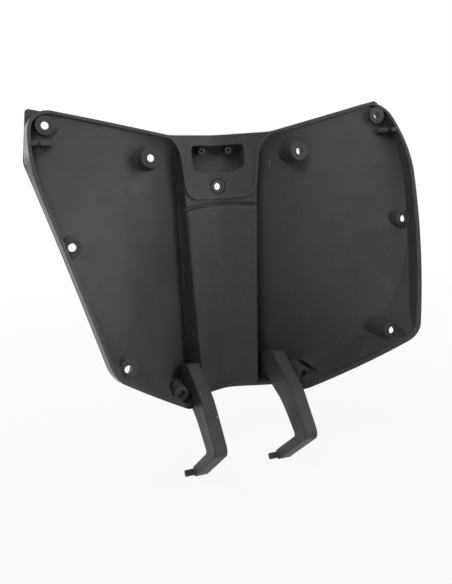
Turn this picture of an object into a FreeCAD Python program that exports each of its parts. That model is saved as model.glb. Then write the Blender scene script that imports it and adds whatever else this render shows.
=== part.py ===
import FreeCAD, Part
import os
from math import hypot, radians, sin, sqrt, tan

V = FreeCAD.Vector

# Frame: origin on the hinge axis midway between the arms, +X along the axis,
# +Z up the closed lid, -Y into the storage space that the lid covers.

# Sheet of the moulding
wall = 2.5

# Outline of the tray, heights above the hinge axis and half widths
lid_top = 310.4
top_dip = 24.5
lid_foot = 65.1
half_dip = 46.0
half_top = 153.4
half_wide = 160.6
wide_drop = 40.0
half_foot = 122.0
foot_corner_rise = 52.5
half_neck = 49.6
dip_bend_r = 40.0
top_corner_r = 14.5
side_bend_run = 23.8
foot_corner_r = 24.5
neck_bend_r = 20.0

# Rim toward the storage space, twisted from nearly flat at the top to a deep V at the foot
wing_root = 30.0
rim_y = 5.4
rim_slope_top = 0.005
rim_slope_foot = 1.38
ledge_back = 12.3
ledge_t = 2.4
ledge_out = 1.4
ledge_corner_r = 3.0
ledge_bend_r = 12.0
ledge_foot_gap = 60.0
ledge_top_run = 24.0

# Tray floor, a twisted sheet behind the rim
floor_root_top = 32.0
floor_mid_top = 6.0
floor_out_top = 32.0
floor_mid_x = 75.0
floor_root_foot = 46.0
floor_slope_foot = 1.56

# Hollow round between the top wall and the floor
cove_h = 18.0
cove_back = 1.5

# Sloping banks between the lower walls and the floor
bank_side_wall = 10.5
bank_side_up = 20.0
bank_side_facing = V(0.807, 0.464, -0.364)
bank_end_wall = 12.0
bank_end_up = 63.4
bank_end_facing = V(0.766, 0.44, -0.469)
bank_foot_wall = 5.2
bank_foot_facing = V(0.75, 0.31, -0.59)
bank_neck_facing = V(0.77, 0.244, -0.59)

# Raised band down the middle, with a shallow rounded valley in its face
band_half_top = 33.0
band_half_foot = 26.0
band_edge_top = 10.0
band_edge_foot = 18.0
band_valley = 11.0
valley_r = 20.0
band_draft = 14.0
band_lip = 1.5
groove_h = 3.2
groove_deep = 2.4
groove_below = 3.4
groove_arch_r = 190.0

# Latch plate at the top, bounded by a thin raised lip
plate_half_top = 37.0
plate_half_foot = 31.5
plate_h = 51.4
plate_flare_r = 20.0
plate_corner_r = 12.0
plate_y_top = 24.5
plate_y_foot = 20.8
plate_slope_top = 0.51
plate_slope_foot = 0.34
plate_draft = 5.0
lip_w = 1.7
lip_h = 1.3

# Latch pocket in the plate, with two blind pilot bosses
pocket_half = 23.5
pocket_h = 23.5
pocket_down = 6.6
pocket_sag = 4.5
pocket_wall = 1.8
pocket_deep_top = 11.0
pocket_deep_foot = 3.0
pilot_spacing = 24.6
pilot_down = 4.2
pilot_r = 2.8
pilot_hole_r = 1.25
pilot_proud = 10.5
pilot_floor_t = 1.5

# Screw bosses, and the ring round the screw hole of the plate
boss_r = 7.2
hole_r = 3.0
boss_top_t = 2.6
top_screw_in = 8.4
top_screw_drop = 12.4
inner_screw_out = 19.5
inner_screw_drop = 40.4
side_screw_in = 5.3
side_screw_drop = 102.9
corner_screw_in = 11.2
corner_screw_up = 0.4
foot_screw_out = 6.9
foot_screw_up = 10.6
plate_screw_up = 10.0
ring_r = 6.0
ring_groove_w = 1.2
ring_groove_deep = 1.4
seat_r = 10.5
seat_y = 1.0

# Locating clips on the side walls
clip_t = 3.2
clip_drop = 27.5
clip_reach = 18.0
clip_tab = 5.5
clip_notch = 2.4

# Hinge arms and pins
arm_spacing = 80.0
arm_w = 11.0
arm_reach = 62.0
arm_root_rise = 31.0
arm_t = 22.5
elbow_h = 35.0
toe_r = 4.4
pin_r = 2.9
pin_long = 8.5
pin_short = 3.0

# Levels that follow from the sizes
z_hi = lid_top + 12.0
z_lo = lid_foot - 12.0
x_out = half_wide + 30.0
z_dip = lid_top - top_dip
z_plate_foot = z_dip - plate_h
y_front = -140.0
y_back = 90.0
far = 400.0


def rounded(points, radii):
    # Closed outline through the points, each corner turned into an arc of its own radius
    n = len(points)
    arcs = []
    for i in range(n):
        p = points[i]
        u = (points[i - 1] - p).normalize()
        w = (points[(i + 1) % n] - p).normalize()
        half = u.getAngle(w) / 2
        run = radii[i] / tan(half)
        mid = (u + w).normalize() * (radii[i] / sin(half) - radii[i])
        arcs.append((p + u * run, p + mid, p + w * run))
    edges = []
    for i in range(n):
        edges.append(Part.Arc(*arcs[i]).toShape())
        edges.append(Part.makeLine(arcs[i][2], arcs[(i + 1) % n][0]))
    return Part.Wire(edges)


def grown(points, grow):
    # Closed outline with every side moved outward by the same distance
    n = len(points)
    sides = []
    for i in range(n):
        (ax, az), (bx, bz) = points[i], points[(i + 1) % n]
        k = grow / hypot(bx - ax, bz - az)
        sides.append((ax - (bz - az) * k, az + (bx - ax) * k, bx - ax, bz - az))
    corners = []
    for i in range(n):
        ax, az, ux, uz = sides[i - 1]
        bx, bz, vx, vz = sides[i]
        t = ((bx - ax) * vz - (bz - az) * vx) / (ux * vz - uz * vx)
        corners.append((ax + ux * t, az + uz * t))
    return corners


def outline(half, turns, grow, y):
    # Outline at depth y from its right half, top to foot, and the mirror image;
    # a turn is a corner radius, negative where the outline turns inward
    whole = half + [(-x, z) for x, z in reversed(half)]
    radii = [max(abs(r + grow), 0.5) for r in turns]
    return rounded([V(x, y, z) for x, z in grown(whole, grow)], radii + radii[::-1])


def column(half, turns, grow):
    return Part.Face(outline(half, turns, grow, y_front)).extrude(V(0, y_back - y_front, 0))


def tapered_column(half, turns, grow, draft, y_ref):
    # Column that narrows away from the storage space by the draft angle
    wires = []
    for y in (y_front, y_back):
        wires.append(outline(half, turns, grow + (y_ref - y) * tan(radians(draft)), y))
    return Part.makeLoft(wires, True, True)


def ahead(top, foot):
    # Space on the storage side of a sheet drawn between a line at the top and one at the foot
    wires = []
    for edges, z in ((top, z_hi), (foot, z_lo)):
        a = edges[0].Vertexes[0].Point
        b = edges[-1].Vertexes[-1].Point
        rest = Part.makePolygon([b, V(b.x, -far, z), V(a.x, -far, z), a])
        wires.append(Part.Wire(edges + rest.Edges))
    return Part.makeLoft(wires, True, True)


def behind_plane(point, facing, back):
    n = V(facing).normalize()
    block = Part.makeBox(2 * far, 2 * far, far, V(-far, -far, 0))
    block.Placement = FreeCAD.Placement(point + n * back, FreeCAD.Rotation(V(0, 0, 1), n))
    return block


def less(body, tools):
    for tool in tools:
        body = body.cut(tool)
    return body


def along_y(r, x, y, z, length):
    return Part.makeCylinder(r, length, V(x, y, z), V(0, 1, 0))


# Tray: perimeter wall, twisted floor and the banks of its lower corners

tray_half = [(half_dip, z_dip), (half_top, lid_top), (half_wide, lid_top - wide_drop),
             (half_foot, lid_foot + foot_corner_rise), (half_neck, lid_foot)]
to_top = V(half_top - half_wide, 0, wide_drop)
to_foot = V(half_foot - half_wide, 0, lid_foot + foot_corner_rise - lid_top + wide_drop)
side_bend_r = side_bend_run * tan(to_top.getAngle(to_foot) / 2)
tray_turns = [-dip_bend_r, top_corner_r, side_bend_r, foot_corner_r, neck_bend_r]


def side_x(z):
    # Half width of the tray between its widest point and the foot corner
    (xa, za), (xb, zb) = tray_half[2:4]
    return xa + (xb - xa) * (z - za) / (zb - za)


def rim_at(x, z):
    t = (z_hi - z) / (z_hi - z_lo)
    return rim_y - (rim_slope_top + t * (rim_slope_foot - rim_slope_top)) * (x - wing_root)


def ahead_of_rim(back):
    lines = []
    for z in (z_hi, z_lo):
        ends = [V(x, rim_at(x, z) + back, z) for x in (wing_root, x_out)]
        lines.append([Part.makeLine(*ends)])
    return ahead(*lines)


# The top line of the floor is a parabola through three points, the foot line is straight

floor_t = floor_mid_x / x_out
floor_pull = floor_mid_top - (1 - floor_t) ** 2 * floor_root_top - floor_t ** 2 * floor_out_top
floor_bow = [floor_root_top, floor_pull / (2 * floor_t * (1 - floor_t)), floor_out_top]


def floor_foot(x):
    return floor_root_foot - floor_slope_foot * (x - wing_root)


def floor_at(x, z):
    u = x / x_out
    top = (1 - u) ** 2 * floor_bow[0] + 2 * u * (1 - u) * floor_bow[1] + u ** 2 * floor_bow[2]
    return top + (floor_foot(x) - top) * (z_hi - z) / (z_hi - z_lo)


def ahead_of_floor(back):
    drop = back * sqrt(1 + floor_slope_foot ** 2)
    bow = Part.BezierCurve()
    bow.setPoles([V(i * x_out / 2, y + back, z_hi) for i, y in enumerate(floor_bow)])
    foot = Part.makeLine(V(0, floor_foot(0) + drop, z_lo), V(x_out, floor_foot(x_out) + drop, z_lo))
    return ahead([bow.toShape()], [foot])


def behind_cove():
    # Room behind the hollow round that follows the top edge and starts just behind the rim
    edge = V(half_top - half_dip, 0, top_dip)
    down = V(edge.z, 0, -edge.x).normalize() * cove_h
    wires = []
    for n in (-0.25, 0.4, 1.1):
        line = [V(half_dip, 0, z_dip) + edge * s + down * n for s in (-0.18, 0.27, 0.73, 1.18)]
        for p in line:
            deep = floor_at(p.x, p.z) - rim_at(p.x, p.z)
            p.y = floor_at(p.x, p.z) - (deep - cove_back) * (1 - n) ** 2 + 0.3
        curve = Part.BSplineCurve()
        curve.interpolate(line)
        a, b = line[0], line[-1]
        rest = Part.makePolygon([b, V(b.x, y_back, b.z), V(a.x, y_back, a.z), a])
        wires.append(Part.Wire([curve.toShape()] + rest.Edges))
    return Part.makeLoft(wires, True, False)


def behind_side(up, deep, facing, grow):
    z = lid_foot + foot_corner_rise + up
    x = side_x(z)
    return behind_plane(V(x, rim_at(x, z) + deep, z), facing, grow)


def behind_banks(grow):
    # Each bank has two facets, so that it fades into the floor at its far end
    side = behind_side(bank_side_up, bank_side_wall, bank_side_facing, grow)
    end = behind_side(bank_end_up, bank_end_wall, bank_end_facing, grow)
    x = (half_foot + half_neck) / 2
    z = lid_foot + foot_corner_rise / 2
    mid = V(x, rim_at(x, z) + bank_foot_wall, z)
    foot = behind_plane(mid, bank_foot_facing, grow)
    neck = behind_plane(mid, bank_neck_facing, grow)
    return [side.common(end), foot.common(neck)]


def tray_space(grow):
    # Room inside the walls, ahead of the floor and the banks, with the round seats of the foot
    # screws and the wells that keep the rings of the corner screws clear of the banks
    x, z = boss_places[4][:2]
    seat = along_y(seat_r + grow, x, y_front, z, seat_y + grow - y_front)
    x, z, r, set_back = boss_places[3][:4]
    well = along_y(r + grow, x, y_front, z, rim_at(x, z) + set_back + grow - y_front)
    room = column(tray_half, tray_turns, grow).common(ahead_of_floor(grow).fuse(seat))
    return less(room, [less(bank, [seat, well]) for bank in behind_banks(grow)])


def ledge():
    # Thin ledge down the outside of the side walls, square at the top corners
    out = wall + ledge_out
    turns = [-dip_bend_r, ledge_corner_r - out, ledge_bend_r - out, foot_corner_r, neck_bend_r]
    sink = ledge_out + 0.4
    half = [(half_dip, z_dip - sink), (half_top, lid_top - sink)] + tray_half[2:]
    ring = column(half, turns, out)
    ring = ring.cut(column(tray_half, tray_turns, wall / 2))
    ring = ring.cut(ahead_of_rim(ledge_back)).common(ahead_of_rim(ledge_back + ledge_t))
    foot_gap = Part.makeBox(ledge_foot_gap, far, far, V(0, -far / 2, 0))
    top_gap = Part.makeBox(half_top - ledge_top_run, far, far, V(0, -far / 2, lid_top - wide_drop))
    return less(ring, [foot_gap, top_gap])


# Screw bosses: place, radius at the top, set-back of the top behind the rim sheet, draft

z_side_screw = lid_top - side_screw_drop
z_corner_screw = lid_foot + foot_corner_rise + corner_screw_up
boss_places = [(half_top - top_screw_in, lid_top - top_screw_drop, boss_r, 1.0, 3.0),
               (half_dip + inner_screw_out, lid_top - inner_screw_drop, boss_r + 0.5, -6.6, 9.0),
               (side_x(z_side_screw) - side_screw_in, z_side_screw, boss_r - 0.2, 6.7, 8.0),
               (half_foot - corner_screw_in, z_corner_screw, boss_r - 0.6, 5.0, 8.0),
               (half_neck + foot_screw_out, lid_foot + foot_screw_up, boss_r - 0.9, 11.6, 4.0)]


def boss_cone(place, inset):
    x, z, r, set_back, draft = place
    run = 70.0
    y = rim_at(x, z) + set_back + inset * boss_top_t / wall
    return Part.makeCone(r - inset, r - inset + run * tan(radians(draft)), run, V(x, y, z), V(0, 1, 0))


def boss_hole(place):
    x, z, r, set_back, draft = place
    return along_y(hole_r, x, rim_at(x, z) + set_back - 10.0, z, 120.0)


# Latch plate

def valley(half, y_mid, slope, y_far, z, side):
    # Outline across X: a rounded valley between two flanks, closed on the far side
    k = sqrt(1 + slope ** 2)
    a = valley_r * slope / k
    y_low = y_mid - valley_r * (k - 1)
    y_arc = y_mid - slope * a
    y_end = y_mid - slope * half
    out = half + side * (y_far - y_end)
    edges = [Part.makeLine(V(-half, y_end, z), V(-a, y_arc, z)),
             Part.Arc(V(-a, y_arc, z), V(0, y_low, z), V(a, y_arc, z)).toShape()]
    rest = [V(a, y_arc, z), V(half, y_end, z), V(out, y_far, z), V(-out, y_far, z), V(-half, y_end, z)]
    return Part.Wire(edges + Part.makePolygon(rest).Edges)


def ahead_of_plate(back):
    half = half_dip + 6.0
    foot = valley(half, plate_y_foot + back, plate_slope_foot, -far / 2, z_plate_foot - 4.0, 0.0)
    top = valley(half, plate_y_top + back, plate_slope_top, -far / 2, lid_top + 30.0, 0.0)
    return Part.makeLoft([foot, top], True, True)


def plate_column(grow):
    # Sides of the plate, flaring into the top edges of the tray
    slope = top_dip / (half_top - half_dip)
    x_far = (half_dip + half_top) / 2
    z_flare = z_dip + (plate_half_top - half_dip) * slope
    half = [(x_far, lid_top + 60.0), (x_far, z_flare + (x_far - plate_half_top) * slope),
            (plate_half_top, z_flare), (plate_half_foot, z_plate_foot)]
    return tapered_column(half, [30.0, 30.0, -plate_flare_r, plate_corner_r], grow, -plate_draft, 10.0)


def plate_dish():
    # Face of the plate inside its lip
    return plate_column(-lip_w).common(ahead_of_plate(0))


def plate_ring():
    z = z_plate_foot + plate_screw_up
    y = plate_y_foot - 6.0
    ring = along_y(ring_r + ring_groove_w, 0, y, z, 20.0).cut(along_y(ring_r, 0, y, z, 20.0))
    return ring.common(ahead_of_plate(ring_groove_deep)).fuse(along_y(hole_r, 0, y, z, 20.0))


# Latch pocket

pocket_top = z_dip - pocket_down
pocket_foot = pocket_top - pocket_h
pocket_lean = (pocket_deep_top - pocket_deep_foot) / pocket_h
pocket_y = plate_y_foot + pocket_deep_foot


def pocket(grow):
    half = [(pocket_half, pocket_top), (pocket_half - 0.5, pocket_foot + pocket_sag),
            (pocket_half / 2, pocket_foot)]
    room = tapered_column(half, [3.0, 4.0, 20.0], grow, 3.0, pocket_y)
    return room.cut(behind_plane(V(0, pocket_y, pocket_foot), V(0, 1, -pocket_lean), grow))


def pilot(x, r, base_t):
    z = pocket_top - pilot_down
    y = pocket_y + (z - pocket_foot) * pocket_lean
    return along_y(r, x, y - pilot_proud, z, pilot_proud + base_t)


# Middle band

band_z0 = lid_foot - 8.0
band_z1 = z_plate_foot + 14.0
band_ends = [(band_half_foot, band_edge_foot, band_z0), (band_half_top, band_edge_top, band_z1)]


def band(inset):
    side = tan(radians(band_draft))
    wires = []
    for half, y, z in band_ends:
        wires.append(valley(half - inset, y + band_valley + inset, band_valley / half, 90.0, z, side))
    return Part.makeLoft(wires, True, True)


def ahead_of_band(back):
    wires = []
    for half, y, z in band_ends:
        wires.append(valley(half + 30.0, y + band_valley + back, band_valley / half, -far / 2, z, 0.0))
    return Part.makeLoft(wires, True, True)


def neck_groove(grow):
    # Arched groove across the top of the band
    z = z_plate_foot - groove_below - groove_arch_r
    arch = along_y(groove_arch_r + grow, 0, -50.0, z, 120.0)
    arch = arch.cut(along_y(groove_arch_r - groove_h - grow, 0, -50.0, z, 120.0))
    return arch.common(ahead_of_band(groove_deep + grow))


# Locating clips

def clip():
    z = lid_top - clip_drop
    x = half_top + (half_wide - half_top) * clip_drop / wide_drop
    y = rim_at(x, z)
    steps = [(wall, 1.5), (-clip_tab, 1.5), (-clip_tab, 11.0), (-clip_tab - clip_notch, 11.0),
             (-clip_tab - clip_notch, 4.0), (3.0 - clip_reach, 7.0), (-clip_reach, 15.0), (-clip_reach, 40.0),
             (wall, 40.0), (wall, 1.5)]
    return Part.Face(Part.makePolygon([V(x + a, y + b, z) for a, b in steps])).extrude(V(0, 0, clip_t))


# Hinge arms

def arm():
    root = lid_foot + arm_root_rise
    toe = V(0, arm_reach, -elbow_h).normalize() * toe_r
    heel = V(0, -toe.z, toe.y)
    rise = root - elbow_h
    points = [V(0, 0, root), V(0, -0.55 * arm_reach, elbow_h + 0.63 * rise), V(0, -arm_reach, elbow_h),
              toe - heel, toe + heel, V(0, arm_t - arm_reach, elbow_h - 4.5),
              V(0, -0.25 * arm_reach, elbow_h + 0.32 * rise), V(0, 16, root - 26), V(0, 44, root - 30),
              V(0, 44, root - 10)]
    radii = [4.0, 60.0, 7.0, toe_r - 0.1, toe_r - 0.1, 3.0, 60.0, 3.0, 1.0, 1.0]
    body = Part.Face(rounded(points, radii)).extrude(V(arm_w, 0, 0))
    body.translate(V(arm_spacing / 2 - arm_w / 2, 0, 0))
    behind = Part.makeBox(x_out, far, 60.0, V(0, -20.0, z_lo)).cut(ahead_of_floor(wall))
    return body.cut(behind)


def pin(side):
    x = side * arm_spacing / 2 - arm_w / 2 - pin_long
    return Part.makeCylinder(pin_r, pin_long + arm_w + pin_short, V(x, 0, 0), V(1, 0, 0))


# One moulding: right half built, then mirrored; the pins point the same way on both arms

inner = tray_space(0).cut(behind_cove())
outer = tray_space(wall)
plate = plate_column(0).cut(ahead_of_plate(-lip_h)).cut(plate_dish())
raised = [band(0), plate] + [boss_cone(b, 0) for b in boss_places]
hollows = [band(wall).cut(neck_groove(wall / 2)), plate_column(-wall).cut(ahead_of_plate(wall))]
hollows += [boss_cone(b, wall) for b in boss_places[:4]]
foot_box = Part.makeBox(2 * half_neck - 6, far, 30.0, V(3 - half_neck, -far / 2, lid_foot - 10))
shell = less(outer.cut(inner), [ahead_of_rim(0), ahead_of_plate(-lip_h), plate_dish()])
shell = less(shell.fuse([inner.common(r) for r in raised]), hollows)
shell = shell.cut(ahead_of_band(-band_lip).common(foot_box))
lining = pocket(pocket_wall).cut(ahead_of_plate(0))
x_pilot = pilot_spacing / 2
half = shell.fuse(ledge()).fuse(arm()).fuse(clip().common(outer)).fuse(lining)
half = less(half, [pocket(0), plate_ring(), neck_groove(0)]).fuse(pilot(x_pilot, pilot_r, pilot_floor_t))
half = less(half, [boss_hole(b) for b in boss_places] + [pilot(x_pilot, pilot_hole_r, 0)])
half = half.common(Part.makeBox(far, 2 * far, 2 * far, V(0, -far, -far)))
lid = half.fuse(half.mirror(V(0, 0, 0), V(1, 0, 0))).fuse([pin(-1), pin(1)]).removeSplitter()
os.makedirs("parts", exist_ok=True)
lid.exportStep("parts/lid.step")
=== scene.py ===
import bmesh
import bpy
from mathutils import Matrix, Vector


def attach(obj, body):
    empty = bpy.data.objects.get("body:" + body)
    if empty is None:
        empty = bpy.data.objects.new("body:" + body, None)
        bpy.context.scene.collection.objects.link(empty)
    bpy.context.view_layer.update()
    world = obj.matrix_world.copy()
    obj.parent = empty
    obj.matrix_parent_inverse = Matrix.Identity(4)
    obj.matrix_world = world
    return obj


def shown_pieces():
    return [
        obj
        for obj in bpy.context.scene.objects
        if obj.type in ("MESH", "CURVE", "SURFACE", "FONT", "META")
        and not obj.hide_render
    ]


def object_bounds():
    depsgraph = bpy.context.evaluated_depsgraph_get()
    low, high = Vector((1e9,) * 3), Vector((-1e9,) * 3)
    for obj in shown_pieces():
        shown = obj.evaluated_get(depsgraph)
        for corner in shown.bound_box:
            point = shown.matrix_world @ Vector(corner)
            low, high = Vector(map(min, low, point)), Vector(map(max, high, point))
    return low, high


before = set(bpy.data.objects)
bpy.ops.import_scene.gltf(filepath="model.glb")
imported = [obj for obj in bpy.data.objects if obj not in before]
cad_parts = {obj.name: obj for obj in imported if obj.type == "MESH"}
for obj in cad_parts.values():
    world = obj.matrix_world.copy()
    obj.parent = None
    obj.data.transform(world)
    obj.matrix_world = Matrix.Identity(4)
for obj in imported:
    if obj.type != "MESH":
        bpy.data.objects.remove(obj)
cad_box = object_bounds()

# The lid: one injection moulding of black plastic, its inner side grained by the
# mould. It hangs on the pins of its two bent arms, and screws through the ringed
# bosses hold the outer cover to its back.

mould_black = bpy.data.materials.new("mould_black")
mould_black.use_nodes = True
nodes = mould_black.node_tree.nodes
links = mould_black.node_tree.links
plastic = nodes["Principled BSDF"]
plastic.inputs["IOR"].default_value = 1.49
plastic.inputs["Specular IOR Level"].default_value = 0.3
place = nodes.new("ShaderNodeTexCoord")


def grain(scale, detail, roughness):
    cloud = nodes.new("ShaderNodeTexNoise")
    cloud.inputs["Scale"].default_value = scale
    cloud.inputs["Detail"].default_value = detail
    cloud.inputs["Roughness"].default_value = roughness
    links.new(place.outputs["Object"], cloud.inputs["Vector"])
    return cloud.outputs["Fac"]


def spread(source, low, high, out_low, out_high):
    ramp = nodes.new("ShaderNodeMapRange")
    ramp.interpolation_type = "SMOOTHSTEP"
    ramp.inputs["From Min"].default_value = low
    ramp.inputs["From Max"].default_value = high
    ramp.inputs["To Min"].default_value = out_low
    ramp.inputs["To Max"].default_value = out_high
    links.new(source, ramp.inputs["Value"])
    return ramp.outputs["Result"]


def product(a, b):
    times = nodes.new("ShaderNodeMath")
    times.operation = "MULTIPLY"
    links.new(a, times.inputs[0])
    links.new(b, times.inputs[1])
    return times.outputs["Value"]


def tint(factor, below, above):
    mix = nodes.new("ShaderNodeMix")
    mix.data_type = "RGBA"
    links.new(factor, mix.inputs["Factor"])
    if isinstance(below, tuple):
        mix.inputs["A"].default_value = below
    else:
        links.new(below, mix.inputs["A"])
    mix.inputs["B"].default_value = above
    return mix.outputs["Result"]


# Edges are rounded by the mould: about a millimetre in general, two on the arms and
# five where the middle band runs into the wings. Heights and half widths are in metres.

edge_r = 0.0008
arm_extra_r = 0.0015
band_extra_r = 0.0045
arm_root, band_foot = 0.098, 0.115
band_top, plate_foot = 0.222, 0.232
band_side, wing_side = 0.052, 0.062

axes = nodes.new("ShaderNodeSeparateXYZ")
links.new(place.outputs["Object"], axes.inputs["Vector"])
half_x = nodes.new("ShaderNodeMath")
half_x.operation = "ABSOLUTE"
links.new(axes.outputs["X"], half_x.inputs[0])
in_middle = spread(half_x.outputs["Value"], band_side, wing_side, 1.0, 0.0)
below_plate = spread(axes.outputs["Z"], band_top, plate_foot, 1.0, 0.0)
on_band = product(in_middle, below_plate)
soft = spread(axes.outputs["Z"], arm_root, band_foot, arm_extra_r, band_extra_r)
radius = nodes.new("ShaderNodeMath")
radius.inputs[1].default_value = edge_r
links.new(product(on_band, soft), radius.inputs[0])
edges = nodes.new("ShaderNodeBevel")
edges.samples = 12
links.new(radius.outputs["Value"], edges.inputs["Radius"])

# Colour: faint clouds from the flow of the plastic, a fine mottle of the mould's grain,
# paler on the rounded edges outside the band, partly rubbed and partly a painted highlight, and a
# few pale nicks.

flow_dark = (0.040, 0.040, 0.041, 1)
flow_pale = (0.052, 0.052, 0.053, 1)
grain_pale = (0.066, 0.066, 0.067, 1)
rubbed_and_highlit = (0.13, 0.13, 0.131, 1)
scratched = (0.5, 0.5, 0.49, 1)
nicks_mm = ((47.6, 13.2, 263.2, 0.45), (47.6, 13.1, 261.5, 0.5), (47.7, 13.1, 259.8, 0.4),
            (-43.5, -27.1, 78.0, 0.6), (-35.7, -43.6, 60.4, 0.6), (132.5, -21.0, 256.9, 0.4))

shape = nodes.new("ShaderNodeNewGeometry")
turned = nodes.new("ShaderNodeVectorMath")
turned.operation = "DOT_PRODUCT"
links.new(edges.outputs["Normal"], turned.inputs[0])
links.new(shape.outputs["Normal"], turned.inputs[1])
on_edge = spread(turned.outputs["Value"], 0.995, 0.86, 0.0, 1.0)
off_band = spread(on_band, 0.0, 0.5, 1.0, 0.0)
rub = grain(45.0, 5.0, 0.65)
# Pale edges: partly rub wear and partly a painted highlight along lips, ring rims and arms.
wear_and_highlight = product(product(on_edge, spread(rub, 0.3, 0.62, 0.25, 1.0)), off_band)
colour = tint(spread(grain(14.0, 3.0, 0.5), 0.35, 0.65, 0.0, 1.0), flow_dark, flow_pale)
colour = tint(spread(grain(650.0, 2.0, 0.55), 0.4, 0.7, 0.0, 0.45), colour, grain_pale)
colour = tint(wear_and_highlight, colour, rubbed_and_highlit)
for x, y, z, r in nicks_mm:
    nick = nodes.new("ShaderNodeVectorMath")
    nick.operation = "DISTANCE"
    nick.inputs[1].default_value = (x / 1000, y / 1000, z / 1000)
    links.new(place.outputs["Object"], nick.inputs[0])
    colour = tint(spread(nick.outputs["Value"], r / 2000, r / 1000, 0.8, 0.0), colour, scratched)
links.new(colour, plastic.inputs["Base Color"])

# Finish: a matt, finely bumped grain all over, and smooth where the mould is polished.
# A piece with a "polish" mark of 1 on its faces takes the smooth finish.

matt_low, matt_high = 0.52, 0.66
polished = 0.24

polish = nodes.new("ShaderNodeAttribute")
polish.attribute_name = "polish"
finish = nodes.new("ShaderNodeMix")
finish.inputs["B"].default_value = polished
links.new(polish.outputs["Fac"], finish.inputs["Factor"])
links.new(spread(rub, 0.3, 0.7, matt_low, matt_high), finish.inputs["A"])
links.new(finish.outputs["Result"], plastic.inputs["Roughness"])
bump = nodes.new("ShaderNodeBump")
bump.inputs["Strength"].default_value = 0.4
bump.inputs["Distance"].default_value = 0.0002
links.new(grain(1400.0, 2.0, 0.6), bump.inputs["Height"])
links.new(edges.outputs["Normal"], bump.inputs["Normal"])
links.new(bump.outputs["Normal"], plastic.inputs["Normal"])

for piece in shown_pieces():
    piece.data.materials.clear()
    piece.data.materials.append(mould_black)

# The skirt of the rim: part of the same moulding, a narrow slanting face that falls
# back from the rim to the ledge down both sides. The mould is polished there, so it
# mirrors the surround. The sizes are in millimetres, as half widths and heights.

tray_dip = Vector((46.0, 285.9))
tray_top = Vector((153.4, 310.4))
tray_wide = Vector((160.6, 270.4))
tray_corner = Vector((122.0, 117.6))
tray_neck = Vector((49.6, 65.1))
top_corner_r = 14.5
side_bend_r = 110.0
foot_corner_r = 24.5
wing_root = 30.0
rim_y = 5.4
rim_slope_top = 0.005
rim_slope_gain = 1.375
rim_slope_high = 322.4
rim_slope_run = 269.3
skirt_start = 2.3
skirt_reach = 3.85
side_bend_reach = 6.1
skirt_drop = 0.1
skirt_back = 12.4


def rim(p):
    slope = rim_slope_top + (rim_slope_high - p.y) / rim_slope_run * rim_slope_gain
    return rim_y - slope * (p.x - wing_root)


def bend_stations(before, corner, after, turn_r, first, most):
    # Points round one bend of the outline, with the way outward and the skirt's reach
    come = (corner - before).normalized()
    leave = (after - corner).normalized()
    out_a = Vector((-come.y, come.x))
    out_b = Vector((-leave.y, leave.x))
    middle = (out_a + out_b).normalized()
    centre = corner - middle * (turn_r / middle.dot(out_a))
    bend = []
    for k in range(first, 7):
        way = out_a.lerp(out_b, k / 6).normalized()
        square = (turn_r + skirt_reach) / max(way.dot(out_a), way.dot(out_b)) - turn_r
        bend.append((centre + way * turn_r, way, min(square, most)))
    return bend


def straight_stations(start, end, way, count):
    # Points between two bends, a tenth of the way apart, without the ends
    return [(start.lerp(end, k / 10), way, skirt_reach) for k in range(1, count + 1)]


top_bend = bend_stations(tray_dip, tray_top, tray_wide, top_corner_r, 3, skirt_reach)
side_bend = bend_stations(tray_top, tray_wide, tray_corner, side_bend_r, 0, side_bend_reach)
foot_bend = bend_stations(tray_wide, tray_corner, tray_neck, foot_corner_r, 0, skirt_reach)
stations = (top_bend
            + straight_stations(top_bend[-1][0], side_bend[0][0], side_bend[0][1], 9)
            + side_bend
            + straight_stations(side_bend[-1][0], foot_bend[0][0], foot_bend[0][1], 9)
            + foot_bend
            + straight_stations(foot_bend[-1][0], tray_neck, foot_bend[-1][1], 8))

skirt = bmesh.new()
for side in (1, -1):
    rows = []
    for p, way, reach in stations:
        near = p + way * skirt_start
        outer = p + way * reach
        ring = [(near, rim(near) + skirt_drop),
                (outer, rim(outer) + skirt_back),
                (near, rim(near) + skirt_back)]
        rows.append([skirt.verts.new((side * q.x / 1000, y / 1000, q.y / 1000)) for q, y in ring])
    for a, b in zip(rows, rows[1:]):
        for k in range(3):
            skirt.faces.new((a[k], a[k - 1], b[k - 1], b[k]))
    skirt.faces.new(rows[0])
    skirt.faces.new(rows[-1])
bmesh.ops.recalc_face_normals(skirt, faces=skirt.faces)
for face in skirt.faces:
    face.smooth = True
skirt_mesh = bpy.data.meshes.new("rim_skirt")
skirt.to_mesh(skirt_mesh)
skirt.free()
skirt_mesh.set_sharp_from_angle(angle=0.5)
skirt_mesh.materials.append(mould_black)
skirt_mesh.attributes.new("polish", "FLOAT", "FACE")
for mark in skirt_mesh.attributes["polish"].data:
    mark.value = 1.0
rim_skirt = bpy.data.objects.new("rim_skirt", skirt_mesh)
bpy.context.collection.objects.link(rim_skirt)
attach(rim_skirt, "root")

# The studio floor: a wide pale sheet that looks almost white to the camera and in what
# the plastic mirrors, and is matt to the light that falls on it. A faint shadow stays
# under the lid and fades out with distance.

floor_gap = 0.0002
near_m, far_m = 0.2, 1.5
near_white, far_white = 0.9, 1.0

bpy.ops.mesh.primitive_plane_add(size=14.0, location=(0, 0, cad_box[0][2] - floor_gap))
floor = bpy.context.object
floor.name = "floor"
pale_floor = bpy.data.materials.new("pale_floor")
pale_floor.use_nodes = True
floor_nodes = pale_floor.node_tree.nodes
floor_links = pale_floor.node_tree.links
matt = floor_nodes["Principled BSDF"]
matt.inputs["Base Color"].default_value = (0.8, 0.8, 0.8, 1)
matt.inputs["Roughness"].default_value = 0.9
glow = floor_nodes.new("ShaderNodeEmission")


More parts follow.
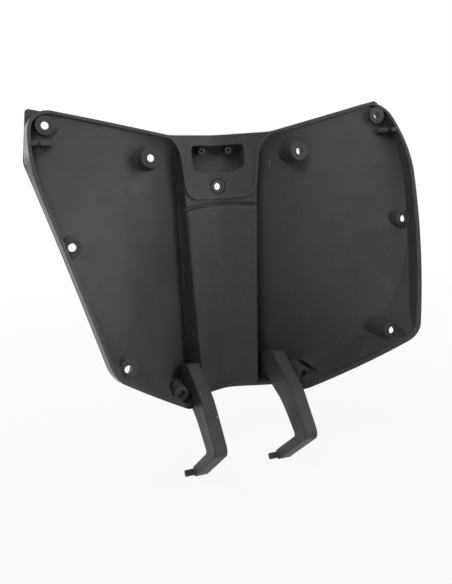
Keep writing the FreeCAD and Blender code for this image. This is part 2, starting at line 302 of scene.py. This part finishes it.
def looked_at(tree):
    # 1 for a ray from the camera, a mirror or a clear piece, and 0 for light that falls
    path = tree.nodes.new("ShaderNodeLightPath")
    found = path.outputs["Is Camera Ray"]
    for kind in ("Is Glossy Ray", "Is Transmission Ray"):
        either = tree.nodes.new("ShaderNodeMath")
        either.operation = "MAXIMUM"
        tree.links.new(found, either.inputs[0])
        tree.links.new(path.outputs[kind], either.inputs[1])
        found = either.outputs["Value"]
    return found


where = floor_nodes.new("ShaderNodeTexCoord")
away = floor_nodes.new("ShaderNodeVectorMath")
away.operation = "LENGTH"
floor_links.new(where.outputs["Object"], away.inputs[0])
fade = floor_nodes.new("ShaderNodeMapRange")
fade.inputs["From Min"].default_value = near_m
fade.inputs["From Max"].default_value = far_m
fade.inputs["To Min"].default_value = near_white
fade.inputs["To Max"].default_value = far_white
floor_links.new(away.outputs["Value"], fade.inputs["Value"])
part_white = floor_nodes.new("ShaderNodeMath")
part_white.operation = "MULTIPLY"
floor_links.new(looked_at(pale_floor.node_tree), part_white.inputs[0])
floor_links.new(fade.outputs["Result"], part_white.inputs[1])
blend = floor_nodes.new("ShaderNodeMixShader")
floor_links.new(part_white.outputs["Value"], blend.inputs["Fac"])
floor_links.new(matt.outputs["BSDF"], blend.inputs[1])
floor_links.new(glow.outputs["Emission"], blend.inputs[2])
floor_links.new(blend.outputs["Shader"], floor_nodes["Material Output"].inputs["Surface"])
floor.data.materials.append(pale_floor)

# The surround: a white room that the plastic mirrors at its edges, dim as a light, so
# that the lamps give the shades.

room_light = 0.08

studio = bpy.data.worlds.new("studio")
bpy.context.scene.world = studio
studio.use_nodes = True
room_nodes = studio.node_tree.nodes
room_links = studio.node_tree.links
dim = room_nodes["Background"]
dim.inputs["Color"].default_value = (1, 1, 1, 1)
dim.inputs["Strength"].default_value = room_light
white = room_nodes.new("ShaderNodeBackground")
white.inputs["Color"].default_value = (1, 1, 1, 1)
surround = room_nodes.new("ShaderNodeMixShader")
room_links.new(looked_at(studio.node_tree), surround.inputs["Fac"])
room_links.new(dim.outputs["Background"], surround.inputs[1])
room_links.new(white.outputs["Background"], surround.inputs[2])
room_links.new(surround.outputs["Shader"], room_nodes["World Output"].inputs["Surface"])

# The lamps: soft square panels turned to the middle of the lid. One stands high on the
# left of the camera, one low on its right, one above the lid, one at the lid's right side
# and one behind it on the left.

lid_middle = Vector((0, 0, 0.16))
panel_size = 1.4


def lamp(name, place_at, power):
    panel = bpy.data.lights.new(name, "AREA")
    panel.size = panel_size
    panel.energy = power
    stand = bpy.data.objects.new(name, panel)
    stand.location = place_at
    stand.rotation_euler = (lid_middle - stand.location).to_track_quat("-Z", "Y").to_euler()
    bpy.context.collection.objects.link(stand)


lamp("key", (-1.5, -1.9, 2.4), 35.0)
lamp("side", (2.2, -1.6, 0.8), 29.0)
lamp("top", (0.0, -0.6, 3.0), 8.0)
lamp("edge", (2.4, 0.3, 1.6), 16.0)
lamp("back", (-1.8, 1.8, 1.5), 26.0)

# The camera stands left of the lid, at three quarters of its height, and looks a little
# down across it. Its place, turn and lens were fitted to the photograph.

camera_at = Vector((-0.212, -0.568, 0.243))
right = Vector((0.9347, -0.3496, -0.0641))
up = Vector((0.1104, 0.1140, 0.9873))

camera_data = bpy.data.cameras.new("camera")
camera_data.sensor_width = 36.0
camera_data.lens = 43.77
camera = bpy.data.objects.new("camera", camera_data)
turn = Matrix((right, up, right.cross(up))).transposed().to_4x4()
camera.matrix_world = Matrix.Translation(camera_at) @ turn
bpy.context.collection.objects.link(camera)
bpy.context.scene.camera = camera
bpy.context.scene.view_settings.view_transform = "Standard"
